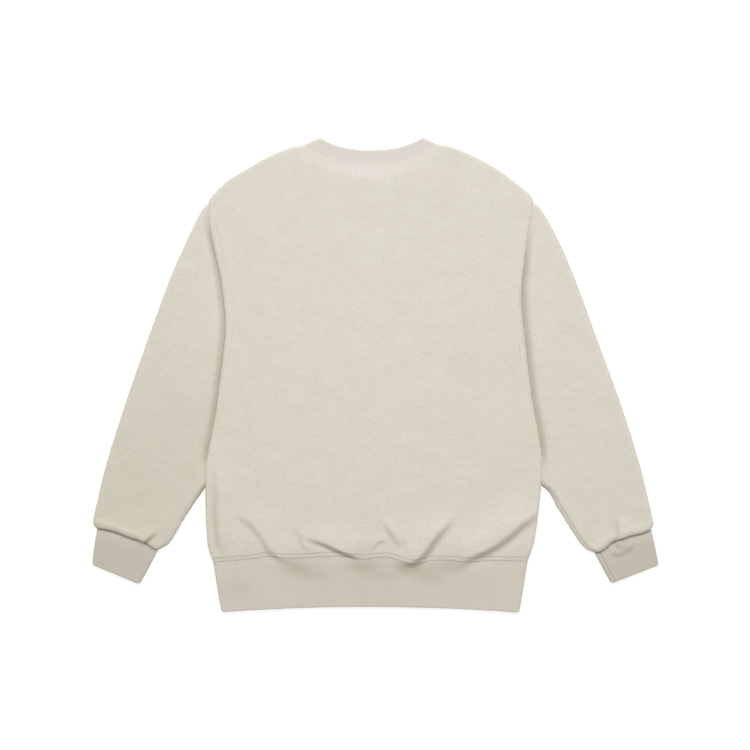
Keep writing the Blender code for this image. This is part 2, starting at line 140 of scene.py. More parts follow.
def asideLine(line, distance):
    run = np.gradient(line, axis=0)
    run /= np.linalg.norm(run, axis=1)[:, None]
    return line + distance * np.stack([-run[:, 1], run[:, 0]], -1)


def hangingLine(left, right, drop, power, steps=80):
    share = np.linspace(0, 1, steps)[:, None]
    chord = np.array(left) * (1 - share) + np.array(right) * share
    return chord - drop * (1 - np.abs(2 * share - 1) ** power) * np.array([[0.0, 1.0]])


def besideLine(line, plan):
    # how far points lie to the left of a line, the direction to the left, and the share along it
    start, run = line[:-1], np.diff(line, axis=0)
    keep = (run**2).sum(1) > 1e-9
    start, run = start[keep], run[keep]
    length = np.linalg.norm(run, axis=1)
    unit = run / length[:, None]
    before = np.concatenate([[0.0], np.cumsum(length)])
    far, along, left = np.empty(len(plan)), np.empty(len(plan)), np.empty((len(plan), 2))
    for k in range(0, len(plan), 4000):
        part = plan[k : k + 4000, None, :] - start
        share = np.clip((part * run).sum(-1) / length**2, 0, 1)
        gap = np.linalg.norm(share[..., None] * run - part, axis=-1)
        best = gap.argmin(axis=1)
        each = np.arange(len(best))
        normal = np.stack([-unit[best, 1], unit[best, 0]], -1)
        side = np.where((part[each, best] * normal).sum(-1) < 0, -1, 1)
        far[k : k + 4000] = gap.min(axis=1) * side
        along[k : k + 4000] = (before[best] + share[each, best] * length[best]) / before[-1]
        left[k : k + 4000] = normal
    return far, left, along


def smoothStep(x):
    x = np.clip(x, 0, 1)
    return x * x * (3 - 2 * x)


def bell(distance, reach):
    # 1 in the middle, soft to nothing at about twice the reach
    return np.exp(-((distance / reach) ** 2))


def groove(distance, place, width=0.9):
    return bell(distance - place, width)


def spot(plan, x, y, reachX, reachY):
    return np.exp(-(((plan[:, 0] - x) / reachX) ** 2 + ((plan[:, 1] - y) / reachY) ** 2))


def unevenness(plan, size, seed):
    # soft random waves of one size, -1 to 1
    table = np.random.default_rng(seed).uniform(-1, 1, (64, 64))
    cell = np.floor(plan / size).astype(int)
    t = smoothStep(plan / size - cell)
    i, j = cell[:, 0] % 64, cell[:, 1] % 64
    k, m = (i + 1) % 64, (j + 1) % 64
    low = table[i, j] * (1 - t[:, 0]) + table[k, j] * t[:, 0]
    high = table[i, m] * (1 - t[:, 0]) + table[k, m] * t[:, 0]
    return low * (1 - t[:, 1]) + high * t[:, 1]


def fleeceRelief(plan, seed):
    # lumps of curls, and the soft waves of cloth that was smoothed by hand
    lumps = 0.08 * unevenness(plan, 5.5, seed) + 0.12 * unevenness(plan, 9.0, seed + 1)
    waves = 0.25 * unevenness(plan, 38.0, seed + 2) + 0.5 * unevenness(plan, 95.0, seed + 3)
    return lumps, waves


def foldsAt(plan):
    # lift of the upper layer, and the painted shade by how deep in a crease it lies
    lift, deep = np.zeros(len(plan)), np.zeros(len(plan))
    footDepth, footPlace, footWidth = foldShape["foot"]
    darkPlace, darkWidth = foldShape["dark"]
    for crease, side, height, steep, soft, start, end, shade in folds:
        line = smoothLine(crease)
        reach = foldShape["reach"] * soft
        near = ((plan > line.min(0) - reach) & (plan < line.max(0) + reach)).all(1)
        if not near.any():
            continue
        off, left, share = besideLine(line, plan[near])
        off = off * side
        fade = smoothStep(share / start) * smoothStep((1 - share) / end)
        hump = smoothStep(off / steep + 0.5) * bell(off, soft)
        foot = footDepth * bell(off + footPlace * steep, footWidth * steep)
        lift[near] += height * fade * (hump - foot)
        deep[near] += shade * fade * bell(off + darkPlace * steep, darkWidth * steep)
    return lift, deep


def dentsAt(plan):
    lift, deep = np.zeros(len(plan)), np.zeros(len(plan))
    for x, y, reachX, reachY, depth, shade in hemDents:
        near = spot(plan, x, y, reachX, reachY)
        lift -= depth * near
        deep += shade * near
    return lift, deep


def neckDip(plan):
    x, y, reachX, reachY, depth = neckShape["dip"]
    return depth * spot(plan, x, y, reachX, reachY)


def spread(share, edge, reach):
    # moves even steps so that a share of them, edge, covers only reach at both ends
    return np.interp(share, [0, edge, 1 - edge, 1], [0, reach, 1 - reach, 1])


def gridPiece(name, columns, rows, place, material, wall, outside=1):
    bm = bmesh.new()
    bm.loops.layers.uv.new("cloth")
    bmesh.ops.create_grid(bm, x_segments=columns, y_segments=rows, size=0.5, calc_uvs=True)
    flat = np.array([v.co[:2] for v in bm.verts]) + 0.5
    points, pressed, paintedShade = place(flat[:, 0], flat[:, 1])
    # pressed marks held-down pile or rib grooves; hollow carries the painted shade of creases,
    # seams and edges
    for mark in ("pressed", "paintedShade"):
        bm.verts.layers.float.new(mark)
    pressedMark, paintedShadeMark = (bm.verts.layers.float[mark] for mark in ("pressed", "paintedShade"))
    for v, p, held, deep in zip(bm.verts, points * mm, pressed, np.clip(paintedShade, 0, 1)):
        v.co, v[pressedMark], v[paintedShadeMark] = p, held, deep
    bmesh.ops.remove_doubles(bm, verts=bm.verts, dist=1e-6)
    bmesh.ops.recalc_face_normals(bm, faces=bm.faces)
    top = max(bm.faces, key=lambda f: f.calc_center_median().z * outside)
    if top.normal.z * outside < 0:
        bmesh.ops.reverse_faces(bm, faces=bm.faces)
    piece = meshPiece(name, bm, material)
    thick = piece.modifiers.new("wall", "SOLIDIFY")
    thick.thickness = wall * mm
    thick.offset = -1
    return piece


def meshPiece(name, bm, material):
    mesh = bpy.data.meshes.new(name)
    bm.to_mesh(mesh)
    bm.free()
    mesh.shade_smooth()
    mesh.materials.append(material)
    piece = bpy.data.objects.new(name, mesh)
    bpy.context.scene.collection.objects.link(piece)
    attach(piece, "root")
    return piece


# materials: curly fleece, rib knit and sewing thread
def newMaterial(name, roughness, sheen):
    material = bpy.data.materials.new(name)
    material.use_nodes = True
    shader = material.node_tree.nodes["Principled BSDF"]
    shader.inputs["Roughness"].default_value = roughness
    shader.inputs["Sheen Weight"].default_value = sheen
    shader.inputs["Sheen Roughness"].default_value = 0.6
    shader.inputs["Specular IOR Level"].default_value = 0.15
    return material, material.node_tree.nodes, material.node_tree.links, shader


def colourRamp(nodes, stops):
    ramp = nodes.new("ShaderNodeValToRGB")
    while len(ramp.color_ramp.elements) < len(stops):
        ramp.color_ramp.elements.new(0.5)
    for element, (place, colour) in zip(ramp.color_ramp.elements, stops):
        element.position = place
        element.color = (*colour, 1)
    return ramp


def mixColour(nodes, blend, factor=None):
    mix = nodes.new("ShaderNodeMix")
    mix.data_type = "RGBA"
    mix.blend_type = blend
    if factor is not None:
        mix.inputs["Factor"].default_value = factor
    return mix


def paintHollowShade(nodes, links, colour, shader, deep):
    # painted shade: cloth in a crease or under an edge is painted darker and warmer
    paintedShade = nodes.new("ShaderNodeAttribute")
    paintedShade.attribute_name = "paintedShade"
    shade = mixColour(nodes, "MULTIPLY")
    shade.inputs["B"].default_value = (*deep, 1)
    links.new(paintedShade.outputs["Fac"], shade.inputs["Factor"])
    links.new(colour, shade.inputs["A"])
    links.new(shade.outputs["Result"], shader.inputs["Base Color"])


def curlyFleece(name, look):
    material, nodes, links, shader = newMaterial(name, 0.95, 0.2)
    place = nodes.new("ShaderNodeTexCoord")
    warp = nodes.new("ShaderNodeTexNoise")
    warp.inputs["Scale"].default_value = 240
    warp.inputs["Detail"].default_value = 2
    bend = nodes.new("ShaderNodeVectorMath")
    bend.operation = "MULTIPLY_ADD"
    bend.inputs[1].default_value = (0.004, 0.004, 0.004)
    curls = nodes.new("ShaderNodeTexVoronoi")  # one cell is one curl of pile
    curls.feature = "SMOOTH_F1"
    curls.inputs["Scale"].default_value = look["curlsPerMetre"]
    curls.inputs["Smoothness"].default_value = 0.6
    fibres = nodes.new("ShaderNodeTexNoise")
    fibres.inputs["Scale"].default_value = 900
    fibres.inputs["Detail"].default_value = 3
    height = nodes.new("ShaderNodeMath")
    height.operation = "MULTIPLY_ADD"
    height.inputs[1].default_value = -1.0
    pressed = nodes.new("ShaderNodeAttribute")
    pressed.attribute_name = "pressed"
    free = nodes.new("ShaderNodeMapRange")  # pile that a seam holds down has less relief
    free.inputs["To Min"].default_value = 1.0
    free.inputs["To Max"].default_value = 0.35
    bump = nodes.new("ShaderNodeBump")
    bump.inputs["Distance"].default_value = look["pileDepth"]
    ripples = nodes.new("ShaderNodeTexNoise")
    ripples.inputs["Scale"].default_value = 150
    ripples.inputs["Detail"].default_value = 2
    rippled = nodes.new("ShaderNodeMath")
    rippled.operation = "MULTIPLY_ADD"
    rippled.inputs[1].default_value = look["ripples"]
    brushed = nodes.new("ShaderNodeMapping")  # the nap lies in bands across the cloth
    brushed.inputs["Scale"].default_value = (0.8, 1.3, 1)
    patches = nodes.new("ShaderNodeTexNoise")
    patches.inputs["Scale"].default_value = 46
    patches.inputs["Detail"].default_value = 5
    tone = colourRamp(nodes, ((0.3, look["shade"]), (0.7, look["colour"])))
    light = mixColour(nodes, "MIX")
    light.inputs["B"].default_value = (*look["pressed"], 1)
    # painted shade between the curls: the colour is darker towards the edge of each curl, where the
    # pile sinks
    paintedShade = mixColour(nodes, "MULTIPLY", 1.0)
    depth = colourRamp(nodes, ((0.0, (1, 1, 1)), (0.75, look["paintedShade"])))
    links.new(place.outputs["Object"], warp.inputs["Vector"])
    links.new(warp.outputs["Color"], bend.inputs[0])
    links.new(place.outputs["Object"], bend.inputs[2])
    links.new(bend.outputs[0], curls.inputs["Vector"])
    links.new(place.outputs["Object"], fibres.inputs["Vector"])
    links.new(curls.outputs["Distance"], height.inputs[0])
    links.new(fibres.outputs["Fac"], height.inputs[2])
    links.new(pressed.outputs["Fac"], free.inputs["Value"])
    links.new(free.outputs["Result"], bump.inputs["Strength"])
    links.new(brushed.outputs["Vector"], ripples.inputs["Vector"])
    links.new(ripples.outputs["Fac"], rippled.inputs[0])
    links.new(height.outputs[0], rippled.inputs[2])
    links.new(rippled.outputs[0], bump.inputs["Height"])
    links.new(bump.outputs["Normal"], shader.inputs["Normal"])
    links.new(place.outputs["Object"], brushed.inputs["Vector"])
    links.new(brushed.outputs["Vector"], patches.inputs["Vector"])
    links.new(patches.outputs["Fac"], tone.inputs["Fac"])
    links.new(pressed.outputs["Fac"], light.inputs["Factor"])
    links.new(tone.outputs["Color"], light.inputs["A"])
    links.new(curls.outputs["Distance"], depth.inputs["Fac"])
    links.new(light.outputs["Result"], paintedShade.inputs["A"])
    links.new(depth.outputs["Color"], paintedShade.inputs["B"])
    paintHollowShade(nodes, links, paintedShade.outputs["Result"], shader, look["deep"])
    return material


def ribKnit(name, look):
    material, nodes, links, shader = newMaterial(name, 0.85, 0.12)
    cloth = nodes.new("ShaderNodeUVMap")
    cloth.uv_map = "cloth"
    scale = nodes.new("ShaderNodeMapping")  # one unit is one knitted loop
    scale.inputs["Scale"].default_value = (look["loopsRound"], look["loopsDown"], 1)
    rows = nodes.new("ShaderNodeTexWave")
    rows.bands_direction = "Y"
    rows.inputs["Scale"].default_value = 0.16
    rows.inputs["Distortion"].default_value = 0.6
    place = nodes.new("ShaderNodeTexCoord")
    fibres = nodes.new("ShaderNodeTexNoise")
    fibres.inputs["Scale"].default_value = 1400
    fibres.inputs["Detail"].default_value = 3
    mixed = nodes.new("ShaderNodeMath")
    mixed.operation = "MULTIPLY_ADD"
    mixed.inputs[1].default_value = 0.6
    bump = nodes.new("ShaderNodeBump")
    bump.inputs["Distance"].default_value = 0.0003
    bump.inputs["Strength"].default_value = 0.5
    patches = nodes.new("ShaderNodeTexNoise")
    patches.inputs["Scale"].default_value = 30
    tone = colourRamp(nodes, ((0.3, look["shade"]), (0.7, look["colour"])))
    # painted shade in the rib grooves: the colour darkens towards the groove colour with their
    # depth
    groove = nodes.new("ShaderNodeAttribute")
    groove.attribute_name = "pressed"
    dark = mixColour(nodes, "MIX")
    dark.inputs["B"].default_value = (*look["groove"], 1)
    links.new(cloth.outputs["UV"], scale.inputs["Vector"])
    links.new(scale.outputs["Vector"], rows.inputs["Vector"])
    links.new(place.outputs["Object"], fibres.inputs["Vector"])
    links.new(rows.outputs["Fac"], mixed.inputs[0])
    links.new(fibres.outputs["Fac"], mixed.inputs[2])
    links.new(mixed.outputs[0], bump.inputs["Height"])
    links.new(bump.outputs["Normal"], shader.inputs["Normal"])
    links.new(place.outputs["Object"], patches.inputs["Vector"])
    links.new(patches.outputs["Fac"], tone.inputs["Fac"])
    links.new(groove.outputs["Fac"], dark.inputs["Factor"])
    links.new(tone.outputs["Color"], dark.inputs["A"])
    paintHollowShade(nodes, links, dark.outputs["Result"], shader, look["deep"])
    return material


def sewingThread(name, look):
    material, nodes, links, shader = newMaterial(name, 0.7, 0.1)
    place = nodes.new("ShaderNodeTexCoord")
    plies = nodes.new("ShaderNodeTexNoise")
    plies.inputs["Scale"].default_value = 1800
    tone = colourRamp(nodes, ((0.3, look["shade"]), (0.7, look["colour"])))
    links.new(place.outputs["Object"], plies.inputs["Vector"])
    links.new(plies.outputs["Fac"], tone.inputs["Fac"])
    links.new(tone.outputs["Color"], shader.inputs["Base Color"])
    return material


fleece = curlyFleece("curlyFleece", {
    "colour": (0.77, 0.72, 0.601), "shade": (0.742, 0.691, 0.57), "paintedShade": (0.93, 0.92, 0.9),
    "pressed": (0.782, 0.725, 0.628), "deep": (0.62, 0.585, 0.5), "curlsPerMetre": 380,
    "pileDepth": 0.00024, "ripples": 1.3,
})
hemKnit = ribKnit("hemRibKnit", {
    "colour": (0.706, 0.643, 0.532), "shade": (0.676, 0.615, 0.506),
    "groove": (0.674, 0.612, 0.502), "deep": (0.6, 0.57, 0.5), "loopsRound": 400, "loopsDown": 60,
})
cuffKnit = ribKnit("cuffRibKnit", {
    "colour": (0.625, 0.57, 0.464), "shade": (0.602, 0.549, 0.444), "groove": (0.6, 0.545, 0.442),
    "deep": (0.6, 0.57, 0.5), "loopsRound": 90, "loopsDown": 48,
})
neckKnit = ribKnit("neckRibKnit", {
    "colour": (0.712, 0.654, 0.552), "shade": (0.7, 0.64, 0.538), "groove": (0.695, 0.636, 0.534),
    "deep": (0.7, 0.67, 0.6), "loopsRound": 200, "loopsDown": 14,
})
# the thread's own colour, set darker than the fleece partly as painted shade where stitches sink
# into the pile
thread = sewingThread("sewingThread", {"colour": (0.66, 0.61, 0.52), "shade": (0.58, 0.53, 0.45)})
print("materials ready")

# body: its side folds, hem seam and necklines
leftFold, rightFold = (
    smoothLine([*bodyOutline[side], *bodyOutline[shoulder], corner])
    for side, shoulder, corner in zip(("leftSide", "rightSide"), ("leftShoulder", "rightShoulder"),
                                      neckShape["seam"])
)
frontHem = hangingLine(leftFold[0], rightFold[0], -bodyOutline["hemArch"], 2, 240)
backNeckline, frontNeckline = (
    hangingLine(*neckShape["seam"], neckShape[drop][0] - seamOverlap, neckShape[power][0])
    for drop, power in (("backDrop", "backPower"), ("frontDrop", "frontPower"))
)

# how far the sewn hem seam strays from its arch, up is positive: x, rise
hemWave = np.array((
    (-233, 0.0), (-200, 1.2), (-174, 3.2), (-155, 6.0), (-137, 2.2), (-104, 1.6), (-70, 3.6),
    (-45, 3.4), (-20, -1.8), (-6, -0.4), (10, 2.8), (27, 0.4), (43, -5.4), (57, -8.8),
    (69, -6.4), (80, -2.2), (110, -1.6), (132, -3.8), (144, -3.8), (161, -1.6), (195, -0.2),
    (222, 0.0),
))


def hemStray(x):
    # the wave above as a soft line
    near = [np.interp(x + k, hemWave[:, 0], hemWave[:, 1]) for k in (-9, -4.5, 0, 4.5, 9)]
    return np.mean(near, axis=0)


backHem = frontHem + np.stack([0 * frontHem[:, 0], hemStray(frontHem[:, 0])], -1)

bodyCloth = {
    "columns": 200,
    "rows": 226,
    "wall": 2.6,
    "top": 10.0,  # outer face over the floor
    "air": (1.2, 70.0),  # lift from the air between the layers, and how far in it is complete
    # radius of the rolled edge, also where it lies on a sleeve, its turn, end level and fringe
    "edge": {"radius": 5.5, "overSleeve": 3.5, "turn": 120.0, "level": 5.2, "fringe": 0.45},
    "armhole": {
        "start": 0.42,  # share of the side where it starts
        "from": -95.0,  # y where its seam starts to show
        "fadeIn": 60.0,
        "swell": (1.4, 5, 14),  # height, place, width
        "pressedBand": 14.0,  # the nap is held down over this width
        "rows": (3.4, 9.8),  # stitch rows, mm from the armhole
        "overSleeve": (-165, 20, 210, 40),  # its edge gets painted shade from y, fade, to y, fade
        "edgeShade": (0.3, 3.2),  # how dark that painted shade is, how wide
    },
    "hemRows": (1.2, 6.4),  # stitch rows, mm above the hem seam
    # drop of the cloth over its distance from the hem seam
    "hemProfile": (
        (0, 2.8), (0.6, 2.5), (1.2, 2.4), (1.8, 2.25), (3.8, 1.85), (5.8, 1.5), (6.4, 1.5),
        (7.0, 1.3), (10, 1.0), (16, 0.5), (26, 0),
    ),
    "neckBand": {"drop": 0.9, "width": 16, "middle": -6, "reach": 75},
}


def panelPlan(u, v, hem, neckline):
    # a sheet between the two sides, the hem seam, and the shoulders with the neckline
    left, right = leftFold[: shoulderPoint + 1], rightFold[: shoulderPoint + 1]
    shoulderLeft, shoulderRight = leftFold[shoulderPoint:], rightFold[shoulderPoint:][::-1]
    top = np.vstack([shoulderLeft, neckline[1:-1], shoulderRight])
    ends = [left[0], right[0], top[0], top[-1]]
    a, b, c, d = onLine(hem, u), onLine(top, u), onLine(left, v), onLine(right, v)
    u, v = u[:, None], v[:, None]
    corners = ((1 - u) * (1 - v) * ends[0] + u * (1 - v) * ends[1]
               + (1 - u) * v * ends[2] + u * v * ends[3])
    return (1 - v) * a + v * b + (1 - u) * c + u * d - corners


def fromSides(plan):
    # distance from the nearer side, and the way out over it
    left, right = besideLine(leftFold, plan), besideLine(rightFold, plan)
    nearLeft = np.abs(left[0]) < np.abs(right[0])
    edge = np.where(nearLeft, np.abs(left[0]), np.abs(right[0]))
    return edge, np.where(nearLeft[:, None], left[1], -right[1])


def armholeDistance(plan):
    part = slice(int(bodyCloth["armhole"]["start"] * shoulderPoint), shoulderPoint + 1)
    return np.minimum(*(np.abs(besideLine(line[part], plan)[0]) for line in (leftFold, rightFold)))


def backSurface(plan):
    look, armhole, neckBand = bodyCloth, bodyCloth["armhole"], bodyCloth["neckBand"]
    edge, outward = fromSides(plan)
    neck = np.abs(besideLine(backNeckline, plan)[0])
    hem = np.abs(besideLine(backHem, plan)[0])
    arm = armholeDistance(plan)
    sewn = smoothStep((plan[:, 1] - armhole["from"]) / armhole["fadeIn"])
    stitchLines = sewn * sum(groove(arm, place) for place in armhole["rows"])
    # where the pile is held down
    band = smoothStep(1 - (arm - armhole["pressedBand"] + 1.5) / 3) * sewn
    nape = smoothStep(1 - (neck - 5) / neckBand["width"])
    nape = nape * bell(plan[:, 0] - neckBand["middle"], neckBand["reach"])
    pressed = np.maximum.reduce([0.35 * band, 0.25 * smoothStep(1 - (hem - 7) / 4), nape])
    # outer face
    lumps, waves = fleeceRelief(plan, 3)
    lift, paintedShade = foldsAt(plan)
    height, place, width = armhole["swell"]
    top = look["top"] + look["air"][0] * smoothStep(edge / look["air"][1])
    top = top + height * groove(arm, place, width) * sewn - 0.5 * band - 0.5 * stitchLines
    top = top - np.interp(hem, *zip(*look["hemProfile"]))
    top = top - neckBand["drop"] * smoothStep(1 - (neck - 2) / neckBand["width"])
    top = top + lumps * (1 - 0.7 * pressed) + waves + lift - neckDip(plan)
    # painted shade at the seam, along the stitches and on the edge over the sleeve
    paintedShade = paintedShade + 0.1 * groove(hem, 0.2) + 0.5 * groove(hem, look["hemRows"][1])
    low, lowFade, high, highFade = armhole["overSleeve"]
    beside = smoothStep((plan[:, 1] - low) / lowFade) * smoothStep((high - plan[:, 1]) / highFade)
    shade, width = armhole["edgeShade"]
    paintedShade = paintedShade + 0.12 * stitchLines + shade * beside * smoothStep(1 - edge / width)
    # the edge rolls down and back under itself
    rim = look["edge"]
    radius = rim["radius"] - (rim["radius"] - rim["overSleeve"]) * sewn * smoothStep(2 - arm / 6)
    near = np.clip(1 - edge / radius, 0, 1)
    turn = near * math.radians(rim["turn"])
    roll = radius * (np.sin(turn) - near)
    roll = roll + rim["fringe"] * unevenness(plan, 3.2, 11) * np.sin(turn)
    wholeTurn = 1 - math.cos(math.radians(rim["turn"]))
    height = top - (top - rim["level"]) / wholeTurn * (1 - np.cos(turn))
    return np.column_stack([plan + outward * roll[:, None], height]), pressed, paintedShade


def backPlace(u, v):
    # rows lie closer at the hem seam and at the neck
    v = np.interp(v, [0, 0.1, 0.4, 0.95, 1], [0, 0.025, 0.21, 0.99, 1])
    return backSurface(panelPlan(spread(u, 0.045, 0.012), v, backHem, backNeckline))


backCloth = gridPiece("backCloth", bodyCloth["columns"], bodyCloth["rows"], backPlace, fleece,
                      bodyCloth["wall"])
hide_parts("back_panel")
print("back made")

frontCloth = {"columns": 120, "rows": 140, "wall": 3.0, "base": 0.4, "edge": 5.4, "edgeRadius": 5.5}


def frontPlace(u, v):
    plan = panelPlan(spread(u, 0.06, 0.011), spread(v, 0.05, 0.01), frontHem, frontNeckline)
    edge = fromSides(plan)[0]
    near = np.clip(1 - edge / frontCloth["edgeRadius"], 0, 1)
    low = frontCloth["base"] + fleeceRelief(plan, 21)[0]
    height = frontCloth["edge"] - (frontCloth["edge"] - low) * np.sqrt(1 - near**2)
    return np.column_stack([plan, height]), 0 * u, 0 * u


frontPanel = gridPiece("frontCloth", frontCloth["columns"], frontCloth["rows"], frontPlace, fleece,
                       frontCloth["wall"], -1)
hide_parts("front_panel")
print("front made")

# sleeves: the outer fold from the shoulder down, the inner one from where it leaves the body
leftSleeve = {
    "outer": (
        (-242.8, 250.2), (-252.6, 239.6), (-273.7, 197.1), (-299.3, 138.7), (-331.4, 51.1),
        (-362.1, -36.5), (-389.8, -124.1), (-404.4, -182.5), (-410.8, -209.0),
        (-411.4, -218.5), (-407.4, -224.4),
    ),
    "inner": (
        (-256.8, -177.4), (-268.6, -195.3), (-283.3, -218.7), (-297.0, -242.2),
        (-307.0, -250.6), (-316.0, -255.0),
    ),
    # rise of the sewn end over a straight line, by share from the inner fold: share, rise
    "endWave": ((0, 0), (0.06, 0.4), (0.12, 2.0), (0.2, 5.0), (0.45, 5.6), (0.7, 7.0), (0.95, 4.6),
                (1, 1)),
    "cuffSeam": ((-316.4, -255.8), (-405.9, -225.6)),
    "cuffEdge": ((-342.6, -305.6), (-413.6, -276.1)),
    "shadow": 0.66,  # how dark the painted shadow lies along the armhole
    "shadowWidth": (13.0, 6.0),  # width of that painted shadow at the shoulder and at the cuff
    "tip": 55.0,  # length over which the painted shadow starts below the shoulder
    "lowerShade": 0.14,  # painted shade, darker towards the lower end of the sleeve
    "lip": ((0, 1.0), (0.3, 1.0), (0.42, 2.7), (1, 2.6)),  # by share, as above
    "strip": 0,
}
rightSleeve = {
    "outer": (
        (230.7, 251.0), (242.4, 240.9), (267.2, 197.1), (292.0, 138.7), (324.1, 51.1),
        (356.2, -36.5), (384.0, -124.1), (398.6, -182.5), (404.4, -208.0),
        (406.2, -217.5), (403.6, -224.0),
    ),
    "inner": (
        (253.5, -171.0), (264.0, -190.0), (277.0, -211.3), (295.2, -239.9),
        (306.6, -253.0), (318.6, -258.8),
    ),
    "endWave": ((0, 1), (0.1, -1.2), (0.22, 0.8), (0.33, 5.5), (0.55, 3.8), (0.62, 4.0),
                (0.83, 0), (1, 1)),
    "cuffSeam": ((320.4, -260.1), (403.0, -225.0)),
    "cuffEdge": ((343.6, -304.4), (414.6, -277.0)),
    "shadow": 0.75,
    "shadowWidth": (12.0, 10.5),
    "tip": 100.0,
    "lowerShade": 0.0,
    "lip": ((0, 1.6), (0.15, 2.2), (1, 2.0)),
    "strip": 1,  # the underarm seam shows as a strip along the inner fold
}
sleeveLook = {
    "columns": 150,
    "rows": 190,
    "wall": 2.2,
    "rise": 5.4,  # outer face over the folds
    "base": 0.35,  # lower face over the floor
    "foldRadius": 9.0,
    "fringe": 0.5,
    "tuckedIn": 5.0,  # how far the sleeve reaches under the body's edge
    "notch": 0.215,  # share of the body's side where the sleeve leaves it
    "notchShade": (0.9, 30.0, 3.4),  # how dark, length and width of the painted shade under the arm
    # valley beside the body: width, share of the height left in it, length over which it ends
    "armhole": {"width": 16.0, "level": 0.42, "atShoulder": 0.84, "end": 40.0},
    # underarm seam, pressed flat between the fold and a groove, with painted shade in the groove
    "strip": {"width": 5.6, "groove": 0.8, "depth": 0.5, "shade": 0.3},
    "wave": 26.0,  # how far up the waves of the sewn end reach
    # roll of the sewn end over the cuff, the swell above it, and the painted shade at its edge
    "lip": {"length": 5.0, "turn": 135.0, "swell": 0.4, "place": 9, "reach": 7, "shade": 0.13},
}


def waveAt(table, share):
    table = np.array(table, float)
    near = [np.interp(share + k, table[:, 0], table[:, 1]) for k in (-0.04, 0, 0.04)]
    return np.mean(near, axis=0)


def roundTube(u):
    # share across a flattened tube for steps round it, and whether it is the upper layer
    return np.where(u < 0.5, 2 * u, 2 - 2 * u), u < 0.5


def roundedHeight(share, width, radius):
    near = np.clip(1 - share * width / radius, 0, 1)
    far = np.clip(1 - (1 - share) * width / radius, 0, 1)
    return np.sqrt(1 - near**2) * np.sqrt(1 - far**2)


def sleevePlace(cut, side, turn, seed):
    look, armhole, strip, end = (sleeveLook, *(sleeveLook[k] for k in ("armhole", "strip", "lip")))
    bodySide = asideLine(side[: shoulderPoint + 1][::-1], look["tuckedIn"] * turn)
    along = lengthAlong(bodySide)
    beside = bodySide[along < (1 - look["notch"]) * along[-1]]
    near = np.vstack([beside, smoothLine([beside[-1], *cut["inner"]])[1:]])
    outer = smoothLine(cut["outer"])
    sideLength, fullLength = lengthAlong(beside)[-1], lengthAlong(near)[-1]

    def place(u, v):
        # steps lie closer at the sewn end and at the folds
        v = np.interp(v, [0, 0.88, 1], [0.004, 0.955, 1])
        share, upper = roundTube(u)
        share = share - 0.86 * np.sin(2 * np.pi * share) / (2 * np.pi)
        low, high = onLine(near, 0.985 * v + 0.015), onLine(outer, v)
        width = np.linalg.norm(high - low, axis=1)
        across = (high - low) / width[:, None]
        back = turn * np.stack([across[:, 1], -across[:, 0]], -1)
        down, left = v * fullLength, (1 - v) * fullLength  # cloth above, and left to the end
        wave = waveAt(cut["endWave"], share) * bell(left, look["wave"])
        plan = low + across * (share * width)[:, None] + back * wave[:, None]
        inside = share * width
        fromBody = inside - look["tuckedIn"]
        # a valley along the body's edge, level with it at the shoulder
        sewn = smoothStep((0.98 * sideLength - down) / armhole["end"])
        tip = smoothStep(1 - down / cut["tip"])
        lowest = armhole["level"] + (armhole["atShoulder"] - armhole["level"]) * tip
        slope = np.minimum(armhole["width"], 0.7 * width)
        valley = lowest + (1 - lowest) * smoothStep((fromBody - 1.5) / slope)
        height = roundedHeight(share, width, np.minimum(look["foldRadius"], 0.46 * width))
        height = height * np.where(upper, 1 - sewn + sewn * valley, 1)
        lumps, waves = fleeceRelief(plan + (0 if seed < 50 else 400), seed)
        lift, paintedShade = foldsAt(plan)
        rise = look["rise"] + lumps + 0.8 * waves + lift
        belowArm = cut["strip"] * smoothStep((down - 0.97 * sideLength) / 12)
        rise = rise - belowArm * (strip["groove"] * groove(inside, strip["width"], 1.0)
                                  + strip["depth"] * smoothStep((strip["width"] - inside) / 1.5))
        # the end swells and rolls over into a lip on the cuff
        roll = np.clip(1 - left / end["length"], 0, 1) * math.radians(end["turn"])
        lip = waveAt(cut["lip"], share)
        rise = rise + end["swell"] * lip * groove(left, end["place"], end["reach"])
        rise = rise - lip * (1 - np.cos(roll))
        lower = -seamLevel + look["base"] + lumps + 0.4 * (1 - np.cos(roll))
        z = seamLevel + height * np.where(upper, rise, lower)
        plan = plan - back * (lip * np.sin(roll) * upper * height)[:, None]
        fringe = look["fringe"] * unevenness(plan, 3.2, seed + 9) * (1 - height) * (1 - sewn)
        plan = plan + across * (fringe * np.where(share < 0.5, -1, 1))[:, None]
        # painted shade beside the body, under the arm, along the strip and at the end
        reach = cut["shadowWidth"][0] * (1 - v) + cut["shadowWidth"][1] * v
        shadow = smoothStep(1 - (fromBody - 2) / reach) * sewn * (1 - tip)
        dark, markLength, markWidth = look["notchShade"]
        notch = bell(down - sideLength, markLength) * groove(inside, 1.0, markWidth)
        paintedShade = (paintedShade + cut["lowerShade"] * smoothStep((v - 0.25) / 0.5) + cut["shadow"] * shadow
                  + strip["shade"] * belowArm * groove(inside, strip["width"], 1.1) + dark * notch
                  + end["shade"] * lip * smoothStep(1 - left / 2.5))
        return np.column_stack([plan, z]), 0.4 * smoothStep(1 - left / 5), paintedShade * upper

    return place


for name, node, cut, side, turn, seed in (
    ("leftSleeveCloth", "sleeve_left", leftSleeve, leftFold, 1, 40),
    ("rightSleeveCloth", "sleeve_right", rightSleeve, rightFold, -1, 70),
):
    sleeve = gridPiece(name, sleeveLook["columns"], sleeveLook["rows"],
                       sleevePlace(cut, side, turn, seed), fleece, sleeveLook["wall"])
    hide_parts(node)
print("sleeves made")


